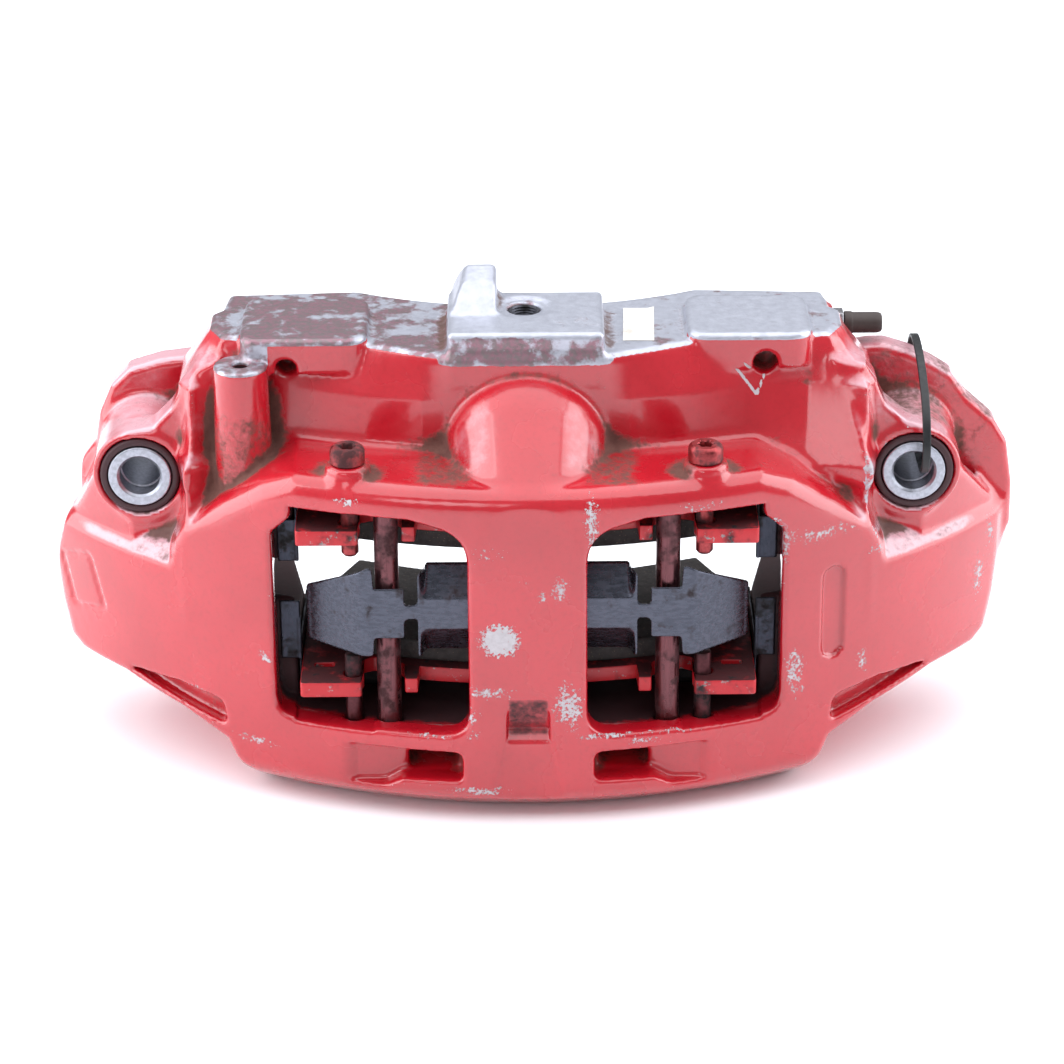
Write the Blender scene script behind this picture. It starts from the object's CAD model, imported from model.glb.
"""A used red six-piston brake caliper standing on its outboard face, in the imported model's frame."""

import math

import bmesh
import bpy
import numpy as np
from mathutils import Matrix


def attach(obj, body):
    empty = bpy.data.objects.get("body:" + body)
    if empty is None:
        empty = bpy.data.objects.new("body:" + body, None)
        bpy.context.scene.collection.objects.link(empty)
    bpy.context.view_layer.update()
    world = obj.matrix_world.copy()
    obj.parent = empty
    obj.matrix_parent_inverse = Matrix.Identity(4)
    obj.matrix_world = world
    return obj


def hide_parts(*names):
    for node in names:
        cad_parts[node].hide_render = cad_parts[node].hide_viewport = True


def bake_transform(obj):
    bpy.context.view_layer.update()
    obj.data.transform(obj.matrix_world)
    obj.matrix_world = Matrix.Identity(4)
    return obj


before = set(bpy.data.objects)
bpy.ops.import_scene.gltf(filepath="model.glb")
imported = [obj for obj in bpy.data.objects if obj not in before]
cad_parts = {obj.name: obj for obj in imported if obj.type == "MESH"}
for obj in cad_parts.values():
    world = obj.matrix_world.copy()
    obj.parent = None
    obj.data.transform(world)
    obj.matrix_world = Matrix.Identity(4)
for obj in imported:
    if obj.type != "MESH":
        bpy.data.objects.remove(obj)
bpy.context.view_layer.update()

import openvdb
from mathutils import Quaternion, Vector

MM = 0.001
scene = bpy.context.scene

# ---- voxel sizes in millimetres, coarser while trying things out ----
CASTING_VOXEL = 1.0
LINING_VOXEL = 0.8
LEAF_VOXEL = 0.42
SMALL_VOXEL = 0.35
TIE_VOXEL = 0.32

# ---- driving sizes in millimetres, the same as the model's ----
GAP = 0.3
PITCH_RADIUS = 160
DISC_MID_Z = 76
OUTER_RADIUS = 218
INNER_RADIUS = 199
PAD_SPACE_RADIUS = 208
HOUSING_RADIUS = 128
SLOT_HALF = 19.5
HOUSING_HALF_GAP = 43
INBOARD_TOP = 160
WINDOW_BOTTOM = 34
WINDOW_TOP = 115
LEDGE_Z = 126
PISTON_RADII = {"left": 17, "centre": 19, "right": 17}
PISTON_X = {"left": -56, "centre": 0, "right": 56}
PISTON_LENGTH = 27
PISTON_OVERHANG = 32.2
BORE_END = 68
PLATE_NEAR = 26.3
PLATE_FAR = 31.9
FRICTION_NEAR = 18.3
PAD_HALF_LENGTH = 79.4
PIN_X = 61
PIN_Y = -38
PIN_RADIUS = 3
ROD_X = 48.5
ROD_Y = -40
ROD_RADIUS = 4.2
BUSH_X = 136
BUSH_Z = 110
BUSH_FACE_Y = -3
LUG_BACK_Y = 50
BUSH_BORE = 7.1
BUSH_RADIUS = 11.1
RING_RADIUS = 14
BOSS_X = -98.4
BOSS_Y = -11
BOSS_TOP = 155.3
PORT_X = -0.5
PORT_Y = 9
PORT_TOP = 168
BLEED_Y = 36
BLEED_Z = 150.5
HANDS = {"left": -1, "right": 1}
WAYS = {"inboard": 1, "outboard": -1}
CASTING_LOW = (-180, -64, -4)
CASTING_HIGH = (180, 68, 184)
CASTING_ENDS = (-171.7, 175.7)
CASTING_FRONT = -57.8
MACHINED_PADS = {"left": (-99, -55, -9, 32), "right": (56, 99, -6, 33)}


# ---- solids as distance fields, in millimetres ----
def smooth_min(a, b, k):
    k = np.maximum(k, 1e-4)
    h = np.maximum(k - np.abs(a - b), 0) / k
    return np.minimum(a, b) - h * h * (k * 0.25)


def smooth_max(a, b, k):
    return -smooth_min(-a, -b, k)


def rise(value, low, high):
    """0 below low, 1 above high, and smooth between."""
    t = np.clip((value - low) / (high - low), 0, 1)
    return t * t * (3 - 2 * t)


def placed(name, data):
    obj = bpy.data.objects.new(name, data)
    scene.collection.objects.link(obj)
    return obj


def smooth_object(name, mesh, crease=None):
    mesh.polygons.foreach_set("use_smooth", np.ones(len(mesh.polygons), dtype=bool))
    if crease:
        mesh.set_sharp_from_angle(angle=math.radians(crease))
    return placed(name, mesh)


class Solid:
    """A block of space that shapes are added to and cut from, then skinned."""

    def __init__(self, low, high, voxel):
        self.voxel = voxel
        self.axes = [
            np.arange(a, b + voxel, voxel, dtype=np.float32)
            for a, b in zip(low, high, strict=True)
        ]
        self.low = low
        self.field = np.full([len(a) for a in self.axes], 30.0, np.float32)
        self.points = None

    def region(self, low=None, high=None):
        """Slices and coordinates of the samples between two corners, or of all of them."""
        slices, coordinates = [], []
        for k, axis in enumerate(self.axes):
            i = max(int(np.searchsorted(axis, low[k])) - 1, 0) if low else 0
            j = min(int(np.searchsorted(axis, high[k])) + 1, len(axis)) if high else len(axis)
            slices.append(slice(i, j))
            shape = [1, 1, 1]
            shape[k] = j - i
            coordinates.append(axis[i:j].reshape(shape))
        return tuple(slices), coordinates

    def add(self, shape, low=None, high=None, blend=0.0):
        where, (x, y, z) = self.region(low, high)
        self.field[where] = smooth_min(self.field[where], shape(x, y, z), blend)

    def cut(self, shape, low, high, blend=0.0):
        where, (x, y, z) = self.region(low, high)
        self.field[where] = smooth_max(self.field[where], -shape(x, y, z), blend)

    def engrave(self, shape, low, high, depth, blend=0.3):
        """Sinks a shape's outline that far below the surface as it is now."""
        where, (x, y, z) = self.region(low, high)
        here = self.field[where]
        self.field[where] = smooth_max(here, np.minimum(-shape(x, y, z), here + depth), blend)

    def skin(self, name):
        """The surface as a mesh of quads. Its vertices stay in self.points, in millimetres."""
        grid = openvdb.FloatGrid(self.voxel * 3)
        values = np.clip(self.field, -self.voxel * 3, self.voxel * 3)
        grid.copyFromArray(values.astype(np.float32))
        points, quads = grid.convertToQuads(isovalue=0.0)
        points = points.astype(np.float64) * self.voxel + np.array(self.low)
        mesh = bpy.data.meshes.new(name)
        mesh.from_pydata([], [], [])
        mesh.clear_geometry()
        mesh.vertices.add(len(points))
        mesh.vertices.foreach_set("co", (points * MM).astype(np.float32).ravel())
        mesh.loops.add(len(quads) * 4)
        a, b = points[quads[:, 2]] - points[quads[:, 0]], points[quads[:, 3]] - points[quads[:, 1]]
        outward = (np.cross(a, b) * points[quads[:, 0]]).sum() > 0
        order = quads if outward else quads[:, ::-1]
        mesh.loops.foreach_set("vertex_index", order.astype(np.int32).ravel())
        mesh.polygons.add(len(quads))
        mesh.polygons.foreach_set("loop_start", np.arange(len(quads), dtype=np.int32) * 4)
        mesh.update(calc_edges=True)
        mesh.validate()
        self.points = points
        return smooth_object(name, mesh)


def polygon(points, u, v):
    """Signed distance to a closed outline, for arrays of its two coordinates."""
    best = None
    sign = None
    count = len(points)
    for i in range(count):
        ax, ay = points[i]
        bx, by = points[(i + 1) % count]
        ex, ey = bx - ax, by - ay
        length = ex * ex + ey * ey
        if length == 0:
            continue
        wx, wy = u - ax, v - ay
        t = np.clip((wx * ex + wy * ey) / length, 0, 1)
        d = (wx - ex * t) ** 2 + (wy - ey * t) ** 2
        up, down = (v >= ay), (v < by)
        turn = ex * wy > ey * wx
        flip = (up & down & turn) | (~up & ~down & ~turn)
        best = d if best is None else np.minimum(best, d)
        sign = flip if sign is None else sign ^ flip
    return np.where(sign, -1.0, 1.0).astype(np.float32) * np.sqrt(best).astype(np.float32)


def slab(flat, along, low, high, rounding=0.0):
    a = flat + rounding
    b = np.abs(along - (low + high) / 2) - (high - low) / 2 + rounding
    inside = np.minimum(np.maximum(a, b), 0)
    return inside + np.hypot(np.maximum(a, 0), np.maximum(b, 0)) - rounding


def plan(points, z0, z1, rounding=0.0):
    return lambda x, y, z: slab(polygon(points, x, y), z, z0, z1, rounding)


def front(points, y0, y1, rounding=0.0):
    return lambda x, y, z: slab(polygon(points, x, z), y, y0, y1, rounding)


def side(points, x0, x1, rounding=0.0):
    return lambda x, y, z: slab(polygon(points, y, z), x, x0, x1, rounding)


def box(x0, x1, y0, y1, z0, z1, rounding=0.0):
    return plan([(x0, y0), (x1, y0), (x1, y1), (x0, y1)], z0, z1, rounding)


def upright(cx, cy, z0, z1, radius, rounding=0.0, flare=0.0):
    def shape(x, y, z):
        r = radius + flare * (z1 - z) / (z1 - z0)
        return slab(np.hypot(x - cx, y - cy) - r, z, z0, z1, rounding)

    return shape


def radial(cx, cz, y0, y1, radius, rounding=0.0):
    return lambda x, y, z: slab(np.hypot(x - cx, z - cz) - radius, y, y0, y1, rounding)


def level(cy, cz, x0, x1, radius, rounding=0.0):
    return lambda x, y, z: slab(np.hypot(y - cy, z - cz) - radius, x, x0, x1, rounding)


def capsule(a, b, ra, rb):
    a, b = np.array(a, float), np.array(b, float)
    e = b - a

    def shape(x, y, z):
        wx, wy, wz = x - a[0], y - a[1], z - a[2]
        t = np.clip((wx * e[0] + wy * e[1] + wz * e[2]) / (e @ e), 0, 1)
        d = np.sqrt((wx - e[0] * t) ** 2 + (wy - e[1] * t) ** 2 + (wz - e[2] * t) ** 2)
        return d - (ra + (rb - ra) * t)

    return shape


def disc_radius(x, y):
    return np.hypot(x, y - PITCH_RADIUS)


def arc_y(x, radius):
    return PITCH_RADIUS - math.sqrt(radius * radius - x * x)


def arc_points(radius, x0, x1, steps):
    a, b = math.asin(x0 / radius), math.asin(x1 / radius)
    angles = [a + (b - a) * i / steps for i in range(steps + 1)]
    return [(radius * math.sin(t), PITCH_RADIUS - radius * math.cos(t)) for t in angles]


def mirrored(points):
    return [(-x, *rest) for x, *rest in points][::-1]


def on_side(points, hand):
    return points if hand > 0 else mirrored(points)


def span(hand, near, far):
    """The two ends along X of what lies between two distances on one side."""
    return sorted((hand * near, hand * far))


def depths(way, near, far):
    """The two ends along Z of what lies between two distances from the disc's middle."""
    return sorted((DISC_MID_Z + way * near, DISC_MID_Z + way * far))


def rounded(corners, steps=6):
    """An outline whose corners, given as (x, y, radius), are rounded."""
    points = []
    count = len(corners)
    for i, corner in enumerate(corners):
        here = Vector(corner[:2])
        radius = corner[2] if len(corner) > 2 else 0
        if radius == 0:
            points.append(tuple(here))
            continue
        back = (Vector(corners[i - 1][:2]) - here).normalized()
        ahead = (Vector(corners[(i + 1) % count][:2]) - here).normalized()
        reach = radius / math.tan(math.acos(back.dot(ahead)) / 2)
        start, end = here + back * reach, here + ahead * reach
        for k in range(steps + 1):
            t = k / steps
            points.append(tuple((1 - t) ** 2 * start + 2 * t * (1 - t) * here + t * t * end))
    return points


# ---- the casting ----
END_OUTLINE = [
    (96, 0), (102.5, 9), (107, 19), (123, 26.5), (145, 32.5), (162, 33.5), (167, 37), (170, 50), (171.8, 66),
    (172, 84), (160, 86), (148, 86), (136, 87), (126, 89), (119, 98), (106, 111), (92, 121), (80, LEDGE_Z),
]
WALL_BACK = arc_points(HOUSING_RADIUS, 60, -60, 14)
LUGS = {
    "right": [
        (106, 60), (158, 60), (170, 66), (172, 76), (170.8, 83.6), (164.2, 91.7), (156.3, 102.1),
        (153.1, 108.5), (149.6, 116.4), (145, 121.6), (141, 124.6), (134, 127.8), (125.5, 135),
        (121.4, 143.3), (118, 150), (106, 152),
    ],
    "left": [
        (-106, 154), (-114, 150), (-120, 141), (-124.1, 135.2), (-131.4, 127.7), (-139.3, 124.4),
        (-149.2, 115.6), (-153.2, 106.1), (-160.4, 91.4), (-165.6, 81.7), (-169.7, 76.7), (-170, 66),
        (-158, 60), (-106, 60),
    ],
}
FLANGES = {
    "right": [
        (106, 60), (158, 60), (172, 66), (175.5, 74), (175.4, 90), (173, 105.8), (168, 114.4), (157.9, 123.6),
        (151.7, 132.7), (145, 137), (136.6, 141.2), (128, 144), (122, 144), (106, 141),
    ],
    "left": [
        (-106, 143), (-124.3, 140.8), (-130.6, 140), (-141.8, 136.6), (-148.5, 129.9), (-153, 119.6),
        (-154.4, 109.3), (-161.2, 100.6), (-167.6, 87.6), (-170.5, 78.8), (-171, 70), (-160, 60), (-106, 60),
    ],
}
TROUGH = (11, 30)


# Plan views of the inboard wall's right and left at three heights. Ridges at both ends stand ahead of the ears.
WALL_LEVELS = (118, 144, 158)
WALL_TOP_HALF = [
    (26, -18.5), (40, -13), (56, -6), (96, 0), (106, 2), (111, 12), (111, 26), (107.5, 30), (106, 44),
]
WALL_HALVES = [
    (
        [(40, -18), (56, -16), (76, -12), (100, -16), (119.5, -20), (122, -2), (121, 26), (108, 30), (106, 44)],
        [(-106, 44), (-108, 30), (-121, 26), (-121.5, -2), (-117.5, -18), (-110, -9), (-90, -6), (-76, -10),
         (-56, -16), (-40, -18)],
    ),
    (
        [(36, -18), (56, -12), (76, -6), (98, -2), (118, -9), (121.5, 0), (121, 26), (108, 30), (106, 44)],
        [(-106, 44), (-108, 30), (-121, 26), (-121, 0), (-116.5, -8), (-108, -3), (-90, -2), (-76, -6),
         (-56, -12), (-36, -18)],
    ),
    (WALL_TOP_HALF, mirrored(WALL_TOP_HALF)),
]
WALL_OUTLINES = [[(0, -18.5), *right, *WALL_BACK, *left] for right, left in WALL_HALVES]


def shell(x, y, z):
    outline = polygon([*END_OUTLINE, *mirrored(END_OUTLINE)], x, z)
    radius = disc_radius(x, y)
    bevel = ((radius - 204) * 10 - z * 14) / math.hypot(10, 14)
    body = smooth_max(outline, radius - OUTER_RADIUS, 3 + 5 * rise(z, 80, 90) * (1 - rise(np.abs(x), 104, 118)))
    dish = (z - 82 - 0.95 * (OUTER_RADIUS - radius) - 60 * (1 - rise(np.abs(x), 116, 126))) / 1.38
    body = smooth_max(body, dish, 2)
    body = smooth_max(body, bevel, 4)
    body = smooth_max(body, HOUSING_RADIUS - radius, 3)
    return smooth_max(body, y - 62, 4)


def inboard_wall(x, y, z):
    low, middle, high = (polygon(outline, x, y) for outline in WALL_OUTLINES)
    first, second = (
        np.clip((z - z0) / (z1 - z0), 0, 1) for z0, z1 in zip(WALL_LEVELS, WALL_LEVELS[1:], strict=False))
    flat = (low * (1 - first) + middle * first) * (1 - second) + high * second
    return slab(flat, z, 112, INBOARD_TOP, 2.6)


def add_housings(solid):
    solid.add(shell, (-178, -64, -4), (178, 68, 134))
    solid.add(inboard_wall, (-130, -32, 100), (130, 60, 170), 4)
    post = [(84, -4), (100, -8), (110, -14), (118.5, -19), (122, -2), (121, 44), (84, 44)]
    for hand in (1, -1):
        x0, x1 = span(hand, 80, 130)
        solid.add(plan(on_side(post, hand), 60, 120, 3), (x0, -30, 50), (x1, 54, 134), 5)
    nose = capsule((0, -13.5, 124.5), (0, -40.5, 102.5), 29, 25.5)
    solid.add(
        lambda x, y, z: smooth_max(nose(x, y, z), disc_radius(x, y) - OUTER_RADIUS, 4),
        (-40, -64, 70), (40, 20, 160), 2.2,
    )


def add_ears(solid):
    for name, hand in HANDS.items():
        x0, x1 = span(hand, 96, 179)

        def lug(x, y, z, outline=LUGS[name]):
            turned_back = PITCH_RADIUS - np.sqrt((OUTER_RADIUS - 3.5) ** 2 - x * x)
            face = np.maximum(BUSH_FACE_Y, turned_back)
            back = np.maximum(TROUGH[0], face + 9 + 14 * rise(-x, 150, 156))
            return slab(polygon(outline, x, z), y, face, back, 2)

        solid.add(lug, (x0, -12, 50), (x1, 54, 166), 3)
        solid.add(front(FLANGES[name], TROUGH[1], 42, 2.5), (x0, 22, 50), (x1, 52, 154), 5)
        solid.add(
            radial(hand * BUSH_X, BUSH_Z, BUSH_FACE_Y, LUG_BACK_Y, 16.6, 1), (x0, -10, 82), (x1, 58, 138), 4)
        solid.add(box(*span(hand, 108, 136), 8, 46, 62, 110, 2), (x0, 0, 50), (x1, 56, 122), 5)


def add_inboard_face(solid):
    block = rounded([(-27, -17, 3), (27, -17, 2), (27, 24, 2), (-27, 24, 3)])
    solid.add(plan(block, 150, PORT_TOP, 0.6), (-34, -24, 148), (34, 32, 174), 3)
    ear_outline = rounded([(-6, 150), (30, 150), (30, 173.5, 5), (24, 178.5, 3), (12, 176, 4), (3, 169, 4)])
    ear = side(ear_outline, -27, -10, 2)

    def slanted_ear(x, y, z):
        return smooth_max(ear(x, y, z), (-27 - x + 0.48 * (z - 166)) / 1.11, 2)

    solid.add(slanted_ear, (-34, -12, 150), (-4, 38, 184), 2)
    for x0, x1, y0, y1 in MACHINED_PADS.values():
        outline = rounded([(x0, y0, 8), (x1, y0, 8), (x1, y1, 8), (x0, y1, 8)])
        solid.add(plan(outline, 150, 163, 0.4), (x0 - 4, y0 - 4, 148), (x1 + 4, y1 + 4, 168), 1.2)
    solid.add(upright(BOSS_X, BOSS_Y, 96, BOSS_TOP, 9.3, 0.8, 1.2), (-114, -28, 90), (-82, 8, 162), 1.2)


def cut_disc_space(solid):
    def disc_slot(x, y, z):
        return slab(disc_radius(x, y) - INNER_RADIUS, z, DISC_MID_Z - SLOT_HALF, DISC_MID_Z + SLOT_HALF)

    solid.cut(disc_slot, (-178, -64, 50), (178, 68, 102), 1.5)
    reach = PAD_SPACE_RADIUS
    side_wall = [(81, arc_y(81, reach)), (81, 16), (90, 64), (90, 80)]
    space = [*mirrored(side_wall), *arc_points(reach, -78, 78, 20), *side_wall]
    solid.cut(
        plan(space, DISC_MID_Z - HOUSING_HALF_GAP, DISC_MID_Z + HOUSING_HALF_GAP),
        (-90, -64, 26), (90, 68, 126), 1.5,
    )
    window = rounded([
        (20.5, WINDOW_BOTTOM, 9), (88, WINDOW_BOTTOM, 7), (88, 104, 2), (79, 113, 4), (60, WINDOW_TOP),
        (40, WINDOW_TOP, 5), (20.5, 110, 14),
    ])
    for hand in (1, -1):
        x0, x1 = span(hand, 12, 96)
        solid.cut(front(on_side(window, hand), -70, -24), (x0, -64, 26), (x1, -18, 124), 2.4)
        ear_room = box(*span(hand, 54, 81), -50, -20, WINDOW_BOTTOM - 1, WINDOW_TOP)
        solid.cut(ear_room, (x0, -54, 28), (x1, -14, 120), 1)
        solid.cut(box(*span(hand, 80, 89), -30, -8, 72, 87), (x0, -36, 66), (x1, -2, 92), 1)


def cut_bores(solid):
    for key, radius in PISTON_RADII.items():
        cx = PISTON_X[key]
        cy = arc_y(cx, PITCH_RADIUS)
        steps = (
            (42, 46.2, radius + 6.2), (45, 49.5, radius + GAP), (49.2, 53.4, radius + 3.2),
            (53, BORE_END, radius + GAP),
        )
        for way in (1, -1):
            for a, b, r in steps:
                z0, z1 = depths(way, a, b)
                solid.cut(
                    upright(cx, cy, z0, z1, r), (cx - 30, cy - 30, z0 - 3), (cx + 30, cy + 30, z1 + 3), 0.6)


def cut_lower_face(solid):
    pocket = rounded([(23, 16, 2), (44, 15.5, 2), (50, 12, 3), (72, 12, 4), (77, 27.5, 2), (23, 27, 3)])
    slot = rounded([(24.5, 17, 1.5), (42, 16, 1.5), (42, 23.5, 1.5), (24.5, 23.5, 1.5)])
    scoop = rounded([(108, 34.5, 4), (124, 37, 4), (144, 35.6, 0.5), (122, 29, 0.5), (106.5, 25, 2)])
    for hand in (1, -1):
        x0, x1 = span(hand, 18, 82)

        def shallow(x, y, z, outline=on_side(pocket, hand)):
            floor = -46 - 0.5 * np.maximum(np.abs(x) - 60, 0)
            return smooth_max(polygon(outline, x, z), y - floor, 2)

        solid.cut(shallow, (x0, -64, 4), (x1, -38, 34), 1.4)
        solid.cut(front(on_side(slot, hand), -70, -30), (x0, -50, 8), (x1, -24, 28), 0.8)

        def wedge(x, y, z, outline=on_side(scoop, hand)):
            return smooth_max(polygon(outline, x, z), OUTER_RADIUS - 5.5 - disc_radius(x, y), 1.2)

        x0, x1 = span(hand, 98, 152)
        solid.cut(wedge, (x0, -64, 14), (x1, 30, 48), 1.2)


def cut_rim_steps(solid):
    """The front edge's underside steps up away from the middle."""
    for x0, x1, height in ((46, 74, 3.4), (74, 130, 5.2)):
        for hand in (1, -1):
            low_x, high_x = span(hand, x0, x1)
            step = front([(low_x, -6), (high_x, -6), (high_x, height), (low_x, height)], -64, -36)
            solid.cut(step, (low_x - 3, -64, -4), (high_x + 3, -32, 12), 1)


def cut_small_holes(solid):
    for hand in (1, -1):
        x = hand * BUSH_X
        for y0, y1, r, soft in (
            (BUSH_FACE_Y - 6, BUSH_FACE_Y + 4, RING_RADIUS + GAP, 0.8),
            (BUSH_FACE_Y - 6, LUG_BACK_Y + 6, BUSH_RADIUS + GAP, 0.5),
        ):
            solid.cut(radial(x, BUSH_Z, y0, y1, r), (x - 20, -14, 90), (x + 20, 60, 130), soft)
        x = hand * 83
        solid.cut(radial(x, 152, -20, 6, 4.2 if hand > 0 else 3.6), (x - 8, -16, 144), (x + 8, 10, 160), 2)
        x = hand * ROD_X
        rod_hole = upright(x, ROD_Y, 24, 122.5, ROD_RADIUS + GAP)
        solid.cut(rod_hole, (x - 8, ROD_Y - 8, 20), (x + 8, ROD_Y + 8, 126), 0.5)
    for z0, z1, r in ((148, 172, 4.9), (165, 172, 5.8)):
        solid.cut(upright(PORT_X, PORT_Y, z0, z1, r), (-12, -4, 144), (12, 22, 176), 0.5)
    spot_face = upright(PORT_X, PORT_Y, PORT_TOP - 0.7, 175, 9.5)
    solid.cut(spot_face, (-14, -6, 164), (14, 24, 178), 0.3)
    solid.cut(upright(BOSS_X, BOSS_Y, 136, 158, 2.8), (-108, -20, 132), (-90, 0, 162), 0.7)


def add_pin_bosses(solid):
    for hand in (1, -1):
        x = hand * PIN_X

        def at(z0, z1, x=x):
            return (x - 18, PIN_Y - 18, z0), (x + 18, PIN_Y + 18, z1)

        solid.add(upright(x, PIN_Y, 112, 130, 7.6, 1, 1.2), *at(112, 138), 2.4)
        solid.cut(upright(x, PIN_Y, 100, WINDOW_TOP, 12), *at(98, WINDOW_TOP))
        solid.add(upright(x, PIN_Y, 17.8, 31, 6.4, 1), *at(12, 33), 1.5)
        for z0, z1, r in ((105, 134, PIN_RADIUS + GAP), (14, 42, PIN_RADIUS + GAP), (16, 22, 4 + GAP)):
            solid.cut(upright(x, PIN_Y, z0, z1, r), *at(z0 - 2, z1 + 2), 0.4)


def add_bleed_boss(solid):
    solid.add(level(BLEED_Y, BLEED_Z, 98, 109, 7, 0.6), (92, 24, 138), (116, 48, 162), 3)
    solid.cut(level(BLEED_Y, BLEED_Z, 94, 116, 4.7), (90, 26, 140), (118, 46, 160), 0.4)


def engrave_face(solid):
    """The plain slot and the raised-edged panel on the front face, and the foot's recess."""
    slot = rounded([(102.8, 50.8, 3.8), (110.6, 50.8, 3.8), (110.6, 85.4, 3.8), (102.8, 85.4, 3.8)])
    panel = rounded([(-168, 69, 1), (-157, 74, 1.5), (-152, 55, 1.5), (-164, 51, 1)])
    foot = rounded([(-13, 8), (13, 8), (7.5, 34), (7, 49, 1.5), (-7, 49, 1.5), (-7.5, 34)])

    def foot_scoop(x, y, z):
        floor = np.minimum(-58.3 + 0.4 * (49 - z), np.maximum(-52.6 - 1.1 * (35 - z), -56.6))
        return smooth_max(polygon(foot, x, z), y - floor, 1)

    solid.engrave(lambda x, y, z: polygon(slot, x, z), (96, -60, 44), (118, -20, 94), 1.7)
    solid.engrave(lambda x, y, z: np.abs(polygon(panel, x, z)) - 0.8, (-174, -24, 44), (-140, 30, 82), 0.6)
    solid.cut(foot_scoop, (-18, -64, 4), (18, -48, 54), 0.8)


# The left end's upper corner, as heights and the X that the casting reaches there at Y 25.
CORNER_HEIGHTS = (56, 70, 77.3, 87.7, 91.6, 120)
CORNER_ENDS = (-172.4, -170.3, -167.9, -164.5, -161.5, -160)
VIEW_SLOPE = 0.466


def trim_ends(solid):
    """Keeps the blends inside the casting's overall sizes, and cuts back the left end's upper corner."""
    left, right = CASTING_ENDS
    solid.cut(lambda x, y, z: x - left, CASTING_LOW, (-164, 68, 184))
    solid.cut(lambda x, y, z: right - x, (168, -64, -4), CASTING_HIGH)
    solid.cut(lambda x, y, z: y - CASTING_FRONT, CASTING_LOW, (180, -50, 184))

    def corner(x, y, z):
        height = z + VIEW_SLOPE * (y - 25)
        return 0.9 * (x - np.interp(height, CORNER_HEIGHTS, CORNER_ENDS))

    solid.cut(corner, (-180, 10, 56), (-156, 68, 112), 1.5)


def make_casting():
    solid = Solid(CASTING_LOW, CASTING_HIGH, CASTING_VOXEL)
    for step in (
        add_housings, add_ears, add_inboard_face, cut_disc_space, cut_bores, cut_lower_face, cut_rim_steps,
        cut_small_holes, add_pin_bosses, add_bleed_boss, engrave_face, trim_ends,
    ):
        step(solid)
    return solid


# ---- meshes for turned, pressed and folded pieces ----
def mesh_object(name, points, faces):
    mesh = bpy.data.meshes.new(name)
    mesh.from_pydata([tuple(c * MM for c in p) for p in points], [], faces)
    work = bmesh.new()
    work.from_mesh(mesh)
    bmesh.ops.recalc_face_normals(work, faces=work.faces)
    work.to_mesh(mesh)
    work.free()
    return smooth_object(name, mesh, 32)


def turned(name, profile, centre, axis="z", segments=96):
    """A piece turned about an axis from (radius, along[, lobe]) points, or a ring if they stay off the axis."""
    points, rings = [], []
    for radius, along, *lobe in profile:
        count = segments if radius > 0 else 1
        rings.append(range(len(points), len(points) + count))
        for k in range(count):
            angle = 2 * math.pi * k / segments
            r = radius + (lobe[0] * math.cos(6 * angle) if lobe else 0)
            u, v = centre[0] + r * math.cos(angle), centre[1] + r * math.sin(angle)
            points.append({"x": (along, u, v), "y": (u, along, v), "z": (u, v, along)}[axis])
    pairs = list(zip(rings, rings[1:], strict=False))
    if profile[0][0] > 0:
        pairs.append((rings[-1], rings[0]))
    faces = []
    for a, b in pairs:
        for k in range(segments):
            n = (k + 1) % segments
            corners = [a[k % len(a)], a[n % len(a)], b[n % len(b)], b[k % len(b)]]
            faces.append(list(dict.fromkeys(corners)))
    return mesh_object(name, points, faces)


def pressed(name, outline, holes, z0, z1, edge):
    """A flat plate with rounded edges, cut to a plan outline with holes through it."""
    work = bmesh.new()
    for loop in (outline, *holes):
        corners = [work.verts.new((x * MM, y * MM, z0 * MM)) for x, y in loop]
        for i, corner in enumerate(corners):
            work.edges.new((corners[i - 1], corner))
    bmesh.ops.triangle_fill(work, use_beauty=True, edges=work.edges[:])
    raised = bmesh.ops.extrude_face_region(work, geom=work.faces[:])["geom"]
    top = [v for v in raised if isinstance(v, bmesh.types.BMVert)]
    bmesh.ops.translate(work, verts=top, vec=(0, 0, (z1 - z0) * MM))
    bmesh.ops.recalc_face_normals(work, faces=work.faces)
    sharp = [e for e in work.edges if len(e.link_faces) == 2 and e.calc_face_angle() > math.radians(60)]
    rims = [e for e in sharp if abs(e.verts[0].co.z - e.verts[1].co.z) < 1e-6]
    bmesh.ops.bevel(work, geom=rims, offset=edge * MM, segments=3, profile=0.5, affect="EDGES")
    mesh = bpy.data.meshes.new(name)
    work.to_mesh(mesh)
    work.free()
    return smooth_object(name, mesh, 38)


def circle(cx, cy, radius, count=40):
    turn = 2 * math.pi / count
    return [(cx + radius * math.cos(turn * k), cy + radius * math.sin(turn * k)) for k in range(count)]


def finish_piece(obj, body, material, slot, *nodes):
    obj.data.materials.append(material)
    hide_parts(*nodes)
    if body:
        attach(obj, body)
    return obj


# ---- wear and dirt marks, stored on the casting's vertices ----
def softened(field, reach):
    """The field averaged over a cube reaching that many voxels each way."""
    for axis in range(3):
        padding = [(0, 0)] * 3
        padding[axis] = (reach + 1, reach)
        total = np.cumsum(np.pad(field, padding, mode="edge"), axis=axis, dtype=np.float32)
        span = 2 * reach + 1
        ahead = np.take(total, np.arange(span, total.shape[axis]), axis=axis)
        behind = np.take(total, np.arange(total.shape[axis] - span), axis=axis)
        field = (ahead - behind) / span
    return field


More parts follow.
